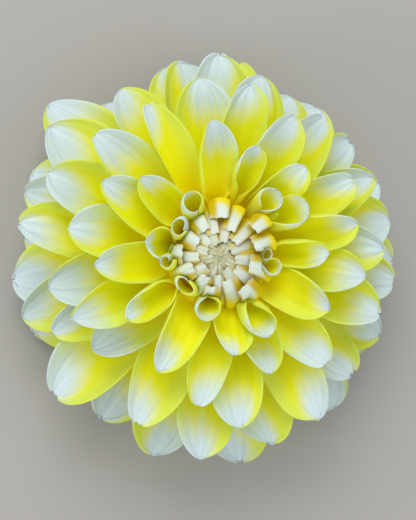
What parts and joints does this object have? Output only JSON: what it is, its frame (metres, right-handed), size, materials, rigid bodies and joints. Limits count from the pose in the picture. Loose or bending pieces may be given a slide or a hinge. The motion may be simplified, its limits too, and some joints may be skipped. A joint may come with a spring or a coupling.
{
  "type": "dahlia flower",
  "caption": "Cut dahlia bloom lying face up: layered yellow petals with white tips in a golden-angle spiral round a closed cream centre, green bracts and a short stem stub behind.",
  "frame": {"origin": "centre of the bloom's bounding box, on the surface that it lies on", "axes": "+Z up out of the face of the flower, which lies on its back; +X to the right and +Y up as it is looked down on. The flower's own axis is parallel to +Z, 1.7 mm towards +X and 0.35 mm towards +Y from the origin"},
  "size_m": [0.1307, 0.1318, 0.0558],
  "materials": {
    "petal": "satin",
    "closed_petal": "satin",
    "pale_bract": "satin",
    "green_bract": "satin",
    "stalk": "satin"
  },
  "bodies": {
    "root": {"ray_florets": "petal", "closed_florets": "closed_petal", "inner_bracts": "pale_bract", "outer_bracts": "green_bract", "stem": "stalk"}
  },
  "joints": []
}
